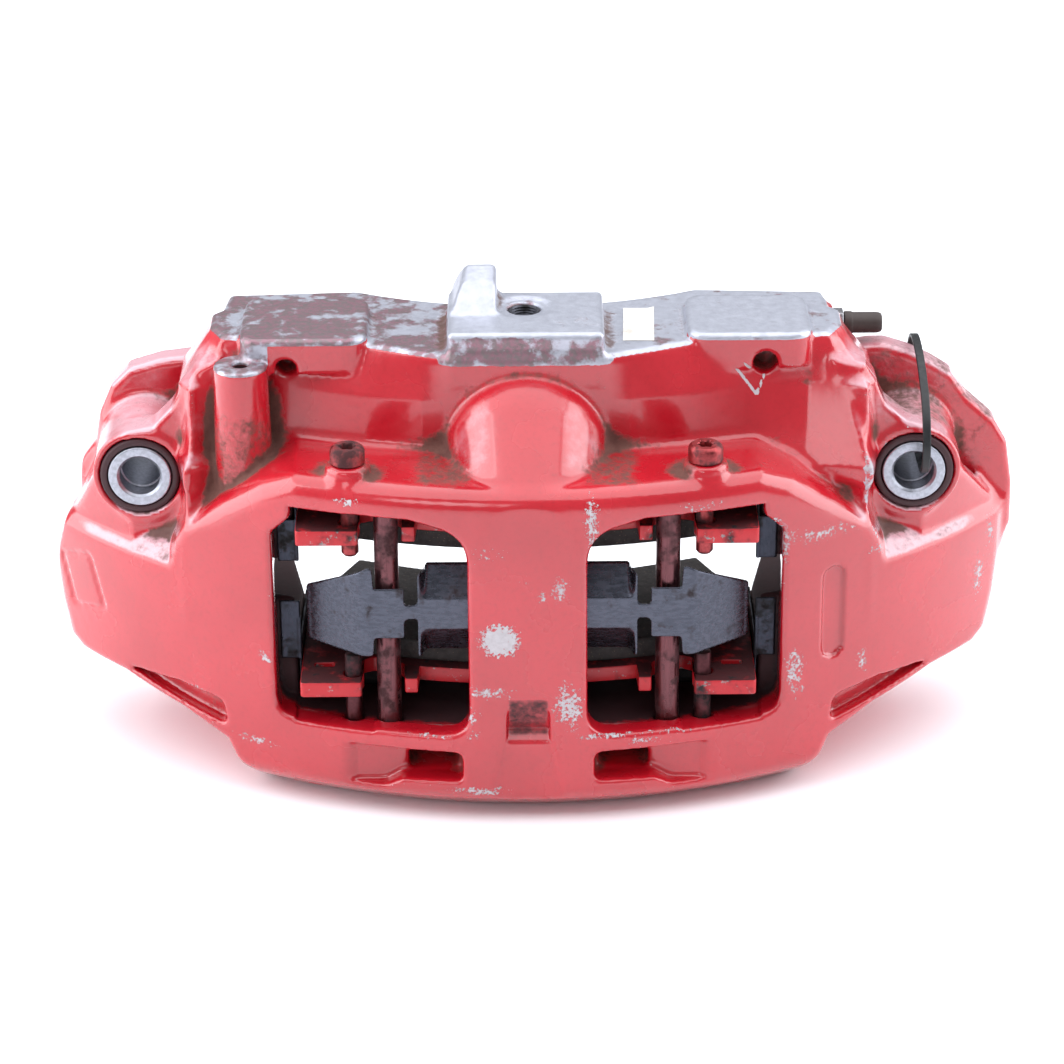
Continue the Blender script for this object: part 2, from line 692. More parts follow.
def sampled(solid, field):
    """The field's values at the vertices of the solid's skin."""
    spots = (solid.points - np.array(solid.low)) / solid.voxel
    base = np.clip(np.floor(spots).astype(int), 0, np.array(field.shape) - 2)
    share = spots - base
    value = np.zeros(len(spots))
    for i in (0, 1):
        for j in (0, 1):
            for k in (0, 1):
                weight = np.prod(np.where((i, j, k), share, 1 - share), axis=1)
                value += weight * field[base[:, 0] + i, base[:, 1] + j, base[:, 2] + k]
    return value


def between(value, low, high, soft):
    return rise(value, low - soft, low + soft) * (1 - rise(value, high - soft, high + soft))


# Chips in the paint of the front face: X, Z, half sizes and strength.
CHIPS = [
    (-9.6, 71.5, 5.0, 4.4, 1.0), (-14, 51.3, 9, 2.2, 0.66), (14, 46, 4.5, 8, 0.72), (11.2, 90.5, 2.6, 5, 0.7),
    (5, 88, 2.4, 2.4, 0.62), (-2, 95, 3, 3, 0.5), (22, 116, 2.2, 8, 0.74), (86, 101.6, 8, 2.4, 0.66),
    (102, 99.6, 12, 2.6, 0.62), (93, 50, 3, 7, 0.7), (94, 41, 2.6, 3, 0.62), (-27, 90, 2, 3, 0.72),
    (-92, 56, 2.4, 3, 0.66), (-16, 12.5, 10, 1.6, 0.7), (28, 33.5, 12, 1.3, 0.66), (52, 33.4, 10, 1.2, 0.64),
    (-33, 33.4, 8, 1.2, 0.62), (118, 46, 2.2, 5, 0.64), (163, 60, 2, 8, 0.64), (167, 76, 1.6, 7, 0.64),
    (-60, 120, 5, 1.6, 0.62), (41, 30.5, 8, 1.4, 0.62), (-97, 22, 8, 1.6, 0.64), (-120, 36, 6, 1.6, 0.62),
    (124, 88, 5, 2, 0.62), (-20, 40, 3, 8, 0.58), (60, 118, 9, 2, 0.56), (-14, 104, 8, 5, 0.5),
]
# Scratches on the inboard wall, as pairs of (X, Z) ends.
SCRATCHES = [((73.0, 150.2), (80.1, 140.6)), ((80.1, 140.6), (82.7, 147.5)), ((75.7, 152.2), (77.6, 150.4))]


def segment_distance(x, z, ends):
    (ax, az), (bx, bz) = ends
    ex, ez = bx - ax, bz - az
    t = np.clip(((x - ax) * ex + (z - az) * ez) / (ex * ex + ez * ez), 0, 1)
    return np.hypot(x - ax - ex * t, z - az - ez * t)


class Surface:
    """The casting's vertices and the places on it that the wear marks share."""

    def __init__(self, obj, solid):
        x, y, z = self.x, self.y, self.z = solid.points.T
        normals = np.empty(len(x) * 3, np.float32)
        obj.data.vertex_normals.foreach_get("vector", normals)
        self.facing = normals.reshape(-1, 3)
        self.up = rise(self.facing[:, 2], 0.35, 0.8)
        near = np.clip(solid.field, -8, 8)
        reach = round(3 / solid.voxel)
        self.edge = rise(sampled(solid, softened(near, reach)), 0.28, 0.75)
        self.hollow = rise(-sampled(solid, softened(near, 2 * reach)), 0.25, 1.5)

        across = self.across = np.abs(x)
        self.radius = disc_radius(x, y)
        self.depth = OUTER_RADIUS - self.radius
        self.boss = np.hypot(x - BOSS_X, y - BOSS_Y)
        self.inside = rise(self.depth, 5, 15) * between(z, 30, 119, 2) * (1 - rise(across, 92, 98))
        self.shoulder = between(x, 84, 128, 4) * between(z, 92, 126, 5) * rise(self.edge, 0.0, 0.4)
        self.under_top = between(z, 148, 158, 3) * rise(-y, -2, 8) * (1 - rise(across, 40, 60))
        self.ears = rise(across, 108, 118) * between(z, 84, 140, 6)
        self.dish = between(across, 120, 158, 4) * between(z, 80, 98, 2) * rise(self.facing[:, 2], 0.3, 0.6)
        self.top = rise(z, 158.4, 159.3) * np.maximum(rise(self.facing[:, 2], 0.5, 0.8), rise(z, 160.5, 161.5))
        self.left_pad = between(x, *MACHINED_PADS["left"][:2], 1.5) * rise(z, 161, 162.5)
        self.block_front = (1 - rise(across, 28, 36)) * (1 - rise(y, -18, -14))
        self.block_front *= rise(z, 156, 158.5) * (1 - rise(z, 166, 167.5))


def grime_mark(s):
    """Brown dirt in the hollows, round the pins and the boss, and on the ears."""
    ledge = between(s.z, 122, 136, 4) * between(s.y, -52, -12, 6) * (1 - rise(s.across, 110, 120))
    pin_ring = 1 - rise(np.hypot(s.across - PIN_X, s.y - PIN_Y), 9, 16)
    boss_foot = (1 - rise(s.boss, 10, 19)) * between(s.z, 104, 142, 8) * (1 - rise(s.edge, 0.1, 0.6))
    nose_foot = (1 - rise(np.abs(s.across - 29), 5, 13)) * between(s.z, 116, 134, 5) * between(s.y, -50, -14, 6)
    right_ear = rise(s.x, 118, 126) * rise(s.y, 0, 8) * between(s.z, 96, 150, 5)
    grime = 0.62 * s.hollow + 0.22 * ledge * s.up + 0.66 * pin_ring * between(s.z, 121, 129.5, 2)
    grime += s.ears * (0.3 * s.up + 0.34 * s.hollow) + 0.5 * boss_foot + 0.34 * right_ear
    grime += 0.42 * nose_foot + 0.26 * s.shoulder + 0.16 * s.under_top
    grime *= 1 - 0.75 * rise(s.radius, OUTER_RADIUS - 8, OUTER_RADIUS - 4)
    return grime + 0.2 * s.top * (1 - s.left_pad) + 0.4 * s.dish


def soot_mark(s):
    """Black dust inside, in the small holes and in the foot's recess."""
    soot = 0.85 * s.inside + 0.66 * rise(s.depth, 24, 36) * between(s.z, 26, 122, 14)
    holes = np.minimum(s.boss - 3.2, np.hypot(s.x - PORT_X, s.y - PORT_Y) - 5.4)
    soot = np.maximum(soot, (1 - rise(holes, -0.3, 0.2)) * (1 - rise(s.z, 153.8, 154.6)))
    recess = (1 - rise(s.across, 6, 8)) * between(s.z, 33, 49, 1) * rise(s.radius, 208, 210)
    return np.maximum(soot, 0.6 * recess)


def bare_mark(s):
    """Machined metal: the inboard face, the boss, the bushes' seats and the foot."""
    bush = np.hypot(s.across - BUSH_X, s.z - BUSH_Z)
    return np.maximum.reduce([
        np.maximum(s.top, 0.8 * s.block_front) + 0.2 * s.under_top,
        (1 - rise(s.boss, 9, 10)) * rise(s.z, 153.6, 154.6),
        rise(s.y, 48.5, 49.5) * (1 - rise(bush, 18.5, 20)), 1 - rise(bush, 13.6, 14.2),
        0.55 * (1 - rise(s.z, 0.4, 1.2)), 0.5 * s.shoulder,
    ])


def chips_mark(s):
    chips = 0.36 * s.edge * (1 - s.inside) + 0.24 * s.shoulder
    outer_face = rise(-s.facing[:, 1], 0.1, 0.3) * rise(s.radius, 205, 209)
    for cx, cz, half_x, half_z, strength in CHIPS:
        spot = np.clip(1 - 0.5 * np.hypot((s.x - cx) / half_x, (s.z - cz) / half_z), 0, 1)
        chips = np.maximum(chips, strength * np.sqrt(spot) * outer_face)
    return chips


def scratch_mark(s):
    wall_front = (s.facing[:, 1] < -0.3) & (s.z > 140)
    distance = np.minimum.reduce([segment_distance(s.x, s.z, ends) for ends in SCRATCHES])
    return np.where(wall_front, np.clip(1 - 0.5 * distance / 0.45, -2, 1), -2)


def stain_mark(s):
    """Where the bare faces are stained, mostly on the left, and below 0 where they stay clean."""
    stain = 0.42 * s.left_pad + 0.6 * s.block_front + 0.3 * between(s.x, -110, -26, 4)
    stain -= 0.45 * rise(s.x, 22, 30)
    stain -= between(s.x, *MACHINED_PADS["right"][:2], 0.8) * rise(s.z, 161.8, 162.6)
    return stain - 1.2 * rise(s.z, 166.8, 167.6) * (1 - s.block_front)


def pale_mark(s):
    """Dry dust on the paint's upward faces."""
    wall_ends = rise(s.across, 100, 108) * between(s.z, 128, 156, 4)
    nose_sides = (1 - rise(np.abs(s.across - 20), 4, 12)) * between(s.z, 128, 150, 5) * rise(-s.y, 20, 30)
    return 0.7 * s.dish + 0.5 * (s.ears + wall_ends) * (0.3 + s.up) + 0.4 * nose_sides


MARKS = {
    "grime": grime_mark, "soot": soot_mark, "bare": bare_mark, "chips": chips_mark, "scratch": scratch_mark,
    "stain": stain_mark, "pale": pale_mark,
}


def mark_casting(obj, solid):
    surface = Surface(obj, solid)
    for name, mark in MARKS.items():
        attribute = obj.data.attributes.new(name, "FLOAT", "POINT")
        attribute.data.foreach_set("value", mark(surface).astype(np.float32))


# ---- procedural materials ----
def srgb(red, green, blue):
    return (*[((c / 255 + 0.055) / 1.055) ** 2.4 if c > 10 else c / 255 / 12.92 for c in (red, green, blue)], 1)


class Finish:
    """A material made of procedural nodes, in the piece's own coordinates."""

    def __init__(self, name):
        self.material = bpy.data.materials.new(name)
        self.material.use_nodes = True
        self.tree = self.material.node_tree
        self.surface = self.tree.nodes["Principled BSDF"]
        self.place = self.node("ShaderNodeTexCoord").outputs["Object"]

    def node(self, kind, **settings):
        node = self.tree.nodes.new(kind)
        for key, value in settings.items():
            setattr(node, key, value)
        return node

    def feed(self, value, socket):
        if isinstance(value, bpy.types.NodeSocket):
            self.tree.links.new(value, socket)
        else:
            socket.default_value = value

    def noise(self, scale, detail=5, roughness=0.55, stretch=(1, 1, 1)):
        mapping = self.node("ShaderNodeMapping")
        mapping.inputs["Scale"].default_value = stretch
        self.feed(self.place, mapping.inputs["Vector"])
        node = self.node("ShaderNodeTexNoise")
        self.feed(mapping.outputs["Vector"], node.inputs["Vector"])
        node.inputs["Scale"].default_value = scale
        node.inputs["Detail"].default_value = detail
        node.inputs["Roughness"].default_value = roughness
        return node.outputs["Fac"]

    def cells(self, scale):
        node = self.node("ShaderNodeTexVoronoi")
        self.feed(self.place, node.inputs["Vector"])
        node.inputs["Scale"].default_value = scale
        return node.outputs["Distance"]

    def step(self, value, low, high, to_low=0.0, to_high=1.0):
        node = self.node("ShaderNodeMapRange", interpolation_type="SMOOTHSTEP")
        self.feed(value, node.inputs["Value"])
        for key, number in (("From Min", low), ("From Max", high), ("To Min", to_low), ("To Max", to_high)):
            node.inputs[key].default_value = number
        return node.outputs["Result"]

    def math(self, operation, a, b=0.0):
        node = self.node("ShaderNodeMath", operation=operation)
        self.feed(a, node.inputs[0])
        self.feed(b, node.inputs[1])
        return node.outputs[0]

    def plus(self, *values):
        total = values[0]
        for value in values[1:]:
            total = self.math("ADD", total, value)
        return total

    def times(self, a, b):
        return self.math("MULTIPLY", a, b)

    def mix(self, share, a, b):
        node = self.node("ShaderNodeMix", data_type="RGBA")
        self.feed(share, node.inputs[0])
        self.feed(a, node.inputs[6])
        self.feed(b, node.inputs[7])
        return node.outputs[2]

    def blend(self, share, a, b):
        node = self.node("ShaderNodeMix", data_type="FLOAT")
        self.feed(share, node.inputs[0])
        self.feed(a, node.inputs[2])
        self.feed(b, node.inputs[3])
        return node.outputs[0]

    def mark(self, name):
        return self.node("ShaderNodeAttribute", attribute_name=name).outputs["Fac"]

    def bump(self, height, distance, strength=1.0, under=None):
        node = self.node("ShaderNodeBump")
        self.feed(height, node.inputs["Height"])
        node.inputs["Distance"].default_value = distance
        node.inputs["Strength"].default_value = strength
        if under:
            self.feed(under, node.inputs["Normal"])
        return node.outputs["Normal"]

    def set(self, **inputs):
        for key, value in inputs.items():
            self.feed(value, self.surface.inputs[key.replace("_", " ")])
        return self.material


def metal_finish(name, colour, dirt, roughness, dirt_amount, stretch=(1, 1, 1), metallic=0.9):
    """Machined metal with brushed lines, stains and dirt in patches."""
    f = Finish(name)
    lines = f.noise(900, 3, 0.5, stretch)
    patches = f.noise(90, 8, 0.62)
    stains = f.step(f.noise(260, 6, 0.6), 0.46, 0.68)
    dirty = f.step(f.plus(patches, f.times(stains, 0.12)), 0.66 - dirt_amount, 0.86 - dirt_amount)
    toned = f.mix(f.step(lines, 0.3, 0.7), tuple(0.72 * c for c in colour[:3]) + (1,), colour)
    return f.set(
        Base_Color=f.mix(dirty, toned, dirt),
        Metallic=f.blend(dirty, metallic, 0.05),
        Roughness=f.plus(f.blend(dirty, roughness, 0.85), f.step(lines, 0.2, 0.8, -0.05, 0.07)),
        Normal=f.bump(f.noise(700, 4, 0.6), 0.00006, 0.5, f.bump(lines, 0.00004, 0.5)),
    )


def rubber_finish(name, colour, dust, dust_amount):
    f = Finish(name)
    dusty = f.step(f.noise(140, 8, 0.6), 0.72 - dust_amount, 0.95 - dust_amount)
    tone = f.mix(f.noise(400, 4), tuple(0.6 * c for c in colour[:3]) + (1,), colour)
    return f.set(
        Base_Color=f.mix(dusty, tone, dust),
        Roughness=f.blend(dusty, 0.55, 0.9),
        Normal=f.bump(f.noise(1400, 5, 0.65), 0.00008, 0.6),
    )


def paint_finish():
    """Gloss red over cast aluminium: chipped edges, brown grime in the hollows, bare machined faces."""
    f = Finish("caliper_paint")
    fine, broad, patch = f.noise(520, 8, 0.62), f.noise(24, 5, 0.5), f.noise(110, 8, 0.62)
    red = f.mix(f.step(broad, 0.3, 0.7), srgb(174, 14, 30), srgb(190, 22, 38))
    red = f.mix(f.times(f.step(fine, 0.45, 0.75), 0.3), red, srgb(146, 10, 24))
    bloom = f.step(f.plus(f.mark("pale"), f.times(patch, 0.9), -0.45), 0.2, 0.9, 0, 0.62)
    red = f.mix(bloom, red, srgb(222, 196, 206))

    def spread(name, low, high, grain=0.5):
        value = f.plus(f.mark(name), f.times(f.plus(fine, f.times(patch, 1.0)), grain), -grain)
        return f.step(value, low, high)

    grime = spread("grime", 0.3, 0.85, 0.9)
    soot = spread("soot", 0.35, 0.75, 0.5)
    bare = spread("bare", 0.46, 0.54, 0.4)
    ragged = f.times(f.math("SUBTRACT", f.noise(1000, 7, 0.7), 0.5), 1.2)
    chips = f.step(f.plus(f.mark("chips"), ragged, f.times(fine, 0.7), -0.35), 0.58, 0.62)
    scratch = f.step(f.plus(f.mark("scratch"), f.times(ragged, 0.5)), 0.42, 0.52)
    worn = f.math("MAXIMUM", chips, scratch)
    alloy = f.mix(f.noise(300, 6), srgb(158, 159, 171), srgb(205, 207, 218))
    stained = f.step(f.plus(patch, f.times(f.mark("stain"), 0.16)), 0.47, 0.6, 0, 0.85)
    alloy = f.mix(stained, alloy, f.mix(f.step(fine, 0.4, 0.6), srgb(138, 88, 98), srgb(112, 92, 90)))
    grey = f.mix(fine, srgb(150, 142, 146), srgb(214, 208, 212))
    dirt = f.mix(f.noise(240, 8, 0.65), srgb(48, 30, 28), srgb(120, 88, 76))
    base = f.mix(bare, red, alloy)
    base = f.mix(worn, base, grey)
    base = f.mix(f.times(grime, 0.92), base, dirt)
    base = f.mix(f.times(soot, 0.96), base, f.mix(patch, srgb(8, 8, 11), srgb(40, 22, 27)))
    clean = f.math("SUBTRACT", 1.0, f.math("MAXIMUM", grime, soot))
    metal = f.times(f.times(bare, clean), 0.6)
    rough = f.blend(bare, f.step(broad, 0.3, 0.7, 0.2, 0.3), 0.36)
    rough = f.blend(worn, rough, 0.55)
    rough = f.blend(f.math("MAXIMUM", grime, f.times(soot, 0.7)), rough, 0.9)
    skin = f.bump(f.noise(260, 4, 0.5), 0.00025, 0.5)
    relief = f.plus(f.times(worn, -1.0), f.times(f.times(grime, fine), 1.2), f.times(f.times(bare, fine), 0.6))
    return f.set(
        Base_Color=base, Metallic=metal, Roughness=rough,
        Coat_Weight=f.times(clean, f.math("SUBTRACT", 1.0, f.math("MAXIMUM", worn, bare))),
        Coat_Roughness=0.12, Normal=f.bump(relief, 0.00025, 0.7, skin),
    )


def nylon_finish():
    f = Finish("tie_nylon")
    return f.set(
        Base_Color=f.mix(f.noise(300, 5), srgb(8, 8, 10), srgb(22, 22, 26)),
        Roughness=f.step(f.noise(500, 4), 0.3, 0.7, 0.34, 0.55),
        Normal=f.bump(f.noise(900, 3), 0.00006, 0.6),
    )


def sticker_finish():
    f = Finish("sticker_paper")
    stains = f.step(f.noise(160, 8, 0.65), 0.5, 0.75, 0, 0.6)
    return f.set(
        Base_Color=f.mix(stains, srgb(222, 218, 212), srgb(160, 144, 122)),
        Roughness=f.step(f.noise(300, 4), 0.3, 0.7, 0.42, 0.6),
        Normal=f.bump(f.noise(700, 5), 0.00008, 0.5),
    )


def friction_finish():
    f = Finish("pad_friction")
    flecks = f.step(f.cells(900), 0.16, 0.05)
    tone = f.mix(f.noise(350, 8, 0.7), srgb(34, 32, 33), srgb(78, 72, 70))
    return f.set(
        Base_Color=f.mix(flecks, tone, srgb(150, 132, 110)),
        Metallic=f.times(flecks, 0.4),
        Roughness=f.step(f.noise(500, 5), 0.3, 0.7, 0.8, 0.98),
        Normal=f.bump(f.noise(800, 8, 0.7), 0.0003, 0.7),
    )


def plate_finish():
    """Red paint over the pads' steel, rubbed through and dirty."""
    f = Finish("pad_plate_paint")
    fine, patch = f.noise(420, 8, 0.65), f.noise(120, 8, 0.6)
    rubbed = f.step(f.plus(fine, f.times(patch, 0.6)), 0.9, 0.98)
    split = f.node("ShaderNodeSeparateXYZ")
    f.feed(f.node("ShaderNodeTexCoord").outputs["Normal"], split.inputs[0])
    flat = f.step(f.math("ABSOLUTE", split.outputs["Z"]), 0.6, 0.95, 0, 0.24)
    dirty = f.step(f.plus(patch, flat), 0.5, 0.72, 0, 0.9)
    base = f.mix(rubbed, srgb(186, 26, 36), srgb(150, 146, 146))
    return f.set(
        Base_Color=f.mix(dirty, base, srgb(26, 17, 21)),
        Metallic=f.times(rubbed, 0.7),
        Roughness=f.blend(dirty, 0.36, 0.8),
        Normal=f.bump(fine, 0.00015, 0.6),
    )


# ---- the pieces ----
STEEL = metal_finish("plated_steel", srgb(170, 168, 172), srgb(86, 66, 54), 0.32, 0.12)
PIN_STEEL = metal_finish("pin_steel", srgb(164, 70, 72), srgb(66, 28, 30), 0.32, 0.2)
BUSH_STEEL = metal_finish("bush_steel", srgb(178, 180, 190), srgb(128, 118, 120), 0.36, -0.08)
ROD_STEEL = metal_finish("rod_steel", srgb(112, 70, 74), srgb(56, 20, 24), 0.28, 0.16, (1, 1, 0.05))
TAIL_STEEL = metal_finish("pin_tail_steel", srgb(92, 52, 56), srgb(20, 12, 14), 0.34, 0.22)
DARK_STEEL = metal_finish("spring_steel", srgb(84, 86, 97), srgb(38, 26, 30), 0.26, 0.08, (0.35, 1, 1), 0.9)
SLIDE_STEEL = metal_finish("slide_steel", srgb(58, 60, 70), srgb(18, 15, 18), 0.3, 0.16, (1, 1, 0.3), 0.9)
PISTON_ALLOY = metal_finish("piston_alloy", srgb(176, 178, 182), srgb(70, 60, 54), 0.28, 0.08, (0.05, 0.05, 1))
PORT_ALLOY = metal_finish("port_alloy", srgb(92, 92, 100), srgb(30, 26, 26), 0.4, 0.2)
RUBBER = rubber_finish("black_rubber", srgb(34, 33, 34), srgb(96, 84, 76), 0.12)
RING_RUBBER = rubber_finish("ring_rubber", srgb(62, 26, 32), srgb(96, 74, 70), 0.1)
CAP_RUBBER = rubber_finish("cap_rubber", srgb(62, 50, 46), srgb(120, 100, 90), 0.1)
NYLON = nylon_finish()
FRICTION = friction_finish()
PLATE_PAINT = plate_finish()

def add_casting():
    solid = make_casting()
    body = solid.skin("cast_body")
    mark_casting(body, solid)
    finish_piece(body, "casting", paint_finish(), "red_paint", "caliper_body")


def add_piston(half, key):
    way = WAYS[half]
    radius = PISTON_RADII[key]
    x = PISTON_X[key]
    centre = (x, arc_y(x, PITCH_RADIUS))

    def along(profile):
        return [(r, DISC_MID_Z + way * distance) for r, distance in rounded(profile, 4)]

    closed = PISTON_OVERHANG + PISTON_LENGTH
    start = PISTON_OVERHANG
    cup = turned(f"piston_cup_{half}_{key}", along([
        (0, closed - 6), (radius - 4, closed - 6, 1.5), (radius - 4, start, 0.5), (radius, start, 0.8),
        (radius, start + 2, 0.4), (radius - 1.3, start + 2, 0.4), (radius - 1.3, start + 4.8, 0.4),
        (radius, start + 4.8, 0.4), (radius, closed, 0.9), (0, closed),
    ]), centre)
    finish_piece(cup, f"piston_{half}_{key}", PISTON_ALLOY, "piston_alloy", f"piston_{half}_{key}")
    seal = turned(f"square_seal_{half}_{key}", along([
        (radius + GAP, 49.5, 0.4), (radius + 2.9, 49.5, 0.4), (radius + 2.9, 53.1, 0.4),
        (radius + GAP, 53.1, 0.4),
    ]), centre)
    finish_piece(seal, "casting", RUBBER, "seal_rubber", f"piston_seal_{half}_{key}")
    lip = start + 2.3
    boot = turned(f"boot_{half}_{key}", along([
        (radius - 1, lip, 0.5), (radius + 2.4, lip, 1), (radius + 5.9, lip + 7.6, 1), (radius + 5.9, 45.9, 0.6),
        (radius + 3.4, 45.9, 0.6), (radius + 3.4, lip + 7.8, 1), (radius + 0.8, lip + 2.2, 0.6),
        (radius - 1, lip + 2.2, 0.5),
    ]), centre)
    finish_piece(boot, None, RUBBER, "boot_rubber", f"dust_boot_{half}_{key}")
    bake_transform(boot)


EAR_FRONT = -46
PLATE_HALF = [
    *[(x, y, 0) for x, y in arc_points(197, 0, 38, 8)], (38.5, -43, 0.5), (43, -43, 1), (43.5, -31, 3),
    (54, -26, 3), (58, -28, 2), (58, EAR_FRONT, 1.2), (PAD_HALF_LENGTH, EAR_FRONT, 1.6),
    (PAD_HALF_LENGTH, 22, 5), (68, 43, 3),
]
FRICTION_OUTLINE = [
    *arc_points(193, -62, 62, 24), (74, -14), (75, 10), (62, 38), *arc_points(136, 48, -48, 20), (-62, 38),
    (-75, 10), (-74, -14),
]


def add_pad(half):
    way = WAYS[half]
    z0, z1 = depths(way, PLATE_NEAR, PLATE_FAR)
    low_edge = [(x, y, 0) for x, y in arc_points(134, 52, -52, 20)]
    holes = [circle(hand * PIN_X, PIN_Y, PIN_RADIUS + 0.6) for hand in (1, -1)]
    if half == "outboard":
        holes += [rounded([(x, -33, 1), (x + 7, -33, 1), (x + 7, -30, 1), (x, -30, 1)]) for x in (68, -75)]
    outline = rounded([*PLATE_HALF, *low_edge, *mirrored(PLATE_HALF[1:])], 4)
    plate = pressed(f"backing_plate_{half}", outline, holes, z0, z1, 0.5)
    finish_piece(plate, f"pad_{half}", PLATE_PAINT, "plate_paint", f"pad_plate_{half}")

    z0, z1 = depths(way, FRICTION_NEAR, PLATE_NEAR - GAP)
    block = Solid((-78, -36, z0 - 2), (78, 46, z1 + 2), LINING_VOXEL)
    block.add(plan(FRICTION_OUTLINE, z0, z1, 0.8))
    groove = box(-1.5, 1.5, -60, 60, *depths(way, FRICTION_NEAR - 2, FRICTION_NEAR + 5))
    block.cut(groove, (-4, -36, z0 - 2), (4, 46, z1 + 2), 0.4)
    lining = block.skin(f"friction_lining_{half}")
    finish_piece(lining, f"pad_{half}", FRICTION, "friction", f"pad_friction_{half}")


def add_pins(name):
    """The guide pins' heads and tails, and the rod that carries the spring."""
    hand = HANDS[name]
    r = PIN_RADIUS
    head = turned(f"torx_pin_inboard_{name}", [
        (0, 95.6), (r - 0.8, 95.6), (r, 96.6), (r, 130.3), (5.7, 130.3), (6, 130.7), (6, 134.6), (5.6, 135.5),
        (4.7, 136.2), (2.9, 136.2, 0.3), (2.6, 135.8, 0.34), (2.5, 133.4, 0.34), (0, 133.1),
    ], (hand * PIN_X, PIN_Y))
    finish_piece(head, "casting", PIN_STEEL, "pin_steel", f"guide_pin_inboard_{name}")
    tail = turned(f"torx_pin_outboard_{name}", [
        (0, 20.8), (2, 20.8, 0.28), (2.2, 18.6, 0.28), (3.4, 18.6), (4, 19.3), (4, 21.7), (r, 21.7), (r, 56.6),
        (r - 0.3, 57.3), (r - 0.9, 57.6), (0, 57.6),
    ], (hand * PIN_X, PIN_Y))
    finish_piece(tail, "casting", TAIL_STEEL, "pin_steel", f"guide_pin_outboard_{name}")
    rod = turned(f"cross_rod_{name}", [
        (0, 25), (ROD_RADIUS - 0.9, 25), (ROD_RADIUS, 25.9), (ROD_RADIUS, 121.1), (ROD_RADIUS - 0.9, 122),
        (0, 122),
    ], (hand * ROD_X, ROD_Y))
    finish_piece(rod, "casting", ROD_STEEL, "rod_steel", f"spring_rod_{name}")


SPRING_LINE = [(0, -45.4), (37, -45.4), (43, -46.4), (56.5, -46.4), (58.5, -45.6), (77, -31.5), (90, -30)]
SPRING_HALF = [
    (38, 59, 2), (38, 74, 1.5), (42.5, 74, 1.5), (42.5, 67, 1), (53, 67, 1), (53.5, 60, 1.5), (77, 60, 2),
    (77, 81, 2), (55, 94, 1.5), (53.5, 93.5, 1), (53, 86, 1), (42.5, 86, 1), (42.5, 79.5, 1.5), (38, 79.5, 1.5),
    (38, 92, 3),
]


def add_spring():
    """The leaf: a sheet bent along X, folded down at its edges and cut to its pattern."""
    xs, ys = zip(*SPRING_LINE, strict=True)
    pattern = rounded([*SPRING_HALF, *mirrored(SPRING_HALF)])

    def line(across):
        return sum(np.interp(np.abs(across + k), xs, ys) for k in (-1.5, -0.5, 0.5, 1.5)) / 4

    def sheet(x, y, z):
        slope = line(np.abs(x) + 0.5) - line(np.abs(x) - 0.5)
        band = rise(37.5 - np.abs(x), 0, 3)
        fold = np.maximum(70.5 - z, 0) * 0.62 + np.maximum(z - 81.5, 0) * 0.7
        bent = 0.44 * band * (np.abs(z - 76) > 5.5)
        depth = np.abs(y - line(x) - 0.5 - band * fold) / np.sqrt(1 + slope * slope + bent) - 0.5
        return smooth_max(depth, polygon(pattern, x, z), 0.5)

    solid = Solid((-79, -49.5, 57.5), (79, -27, 95), LEAF_VOXEL)
    solid.add(sheet)
    finish_piece(solid.skin("leaf_spring"), "casting", DARK_STEEL, "spring_steel", "pad_spring")


def add_abutment(name, half):
    hand, way = HANDS[name], WAYS[half]
    face = rounded([
        (-25.2, 87, 0.4), (-22.6, 87, 1), (-22.6, 97.5, 2), (20, 97.5, 1.5), (20, 114, 1.5), (-25.2, 114, 0.4),
    ])

    def sheet(x, y, z):
        x = hand * x
        z = z if way > 0 else 2 * DISC_MID_Z - z
        upright_part = side(face, 79.8, 80.7, 0.2)(x, y, z)
        flange = box(79.9, 87, -25.2, -24.3, 87 if way > 0 else 80.5, 103, 0.2)(x, y, z)
        return smooth_min(upright_part, flange, 0.8)

    low_x, high_x = span(hand, 78.6, 88.2)
    low_z, high_z = (79, 115.4) if way > 0 else (36.6, 73)
    solid = Solid((low_x, -27, low_z), (high_x, 21.6, high_z), SMALL_VOXEL)
    solid.add(sheet)
    plate = solid.skin(f"slide_plate_{half}_{name}")
    finish_piece(plate, "casting", SLIDE_STEEL, "spring_steel", f"abutment_plate_{half}_{name}")


def add_bush(name):
    centre = (HANDS[name] * BUSH_X, BUSH_Z)
    y0, y1 = BUSH_FACE_Y - 1, LUG_BACK_Y + 1
    sleeve = turned(f"bush_sleeve_{name}", rounded([
        (BUSH_BORE + 0.9, y0, 0.2), (BUSH_RADIUS, y0, 0.7), (BUSH_RADIUS, y1, 0.7), (BUSH_BORE, y1, 0.8),
        (BUSH_BORE, y0 + 9), (BUSH_BORE + 0.5, y0 + 8.6), (BUSH_BORE + 0.5, y0 + 5.4), (BUSH_BORE, y0 + 5),
        (BUSH_BORE, y0 + 0.9, 0.2),
    ], 4), centre, "y", 128)
    finish_piece(sleeve, "casting", BUSH_STEEL, "bush_steel", f"mount_bush_{name}")
    y0, y1 = BUSH_FACE_Y - 0.6, BUSH_FACE_Y + 3.7
    ring = turned(f"bush_seal_{name}", rounded([
        (BUSH_RADIUS + GAP, y0, 0.8), (RING_RADIUS, y0, 1.3), (RING_RADIUS, y1, 0.4),
        (BUSH_RADIUS + GAP, y1, 0.4),
    ], 5), centre, "y", 128)
    finish_piece(ring, "casting", RING_RUBBER, "ring_rubber", f"mount_bush_ring_{name}")


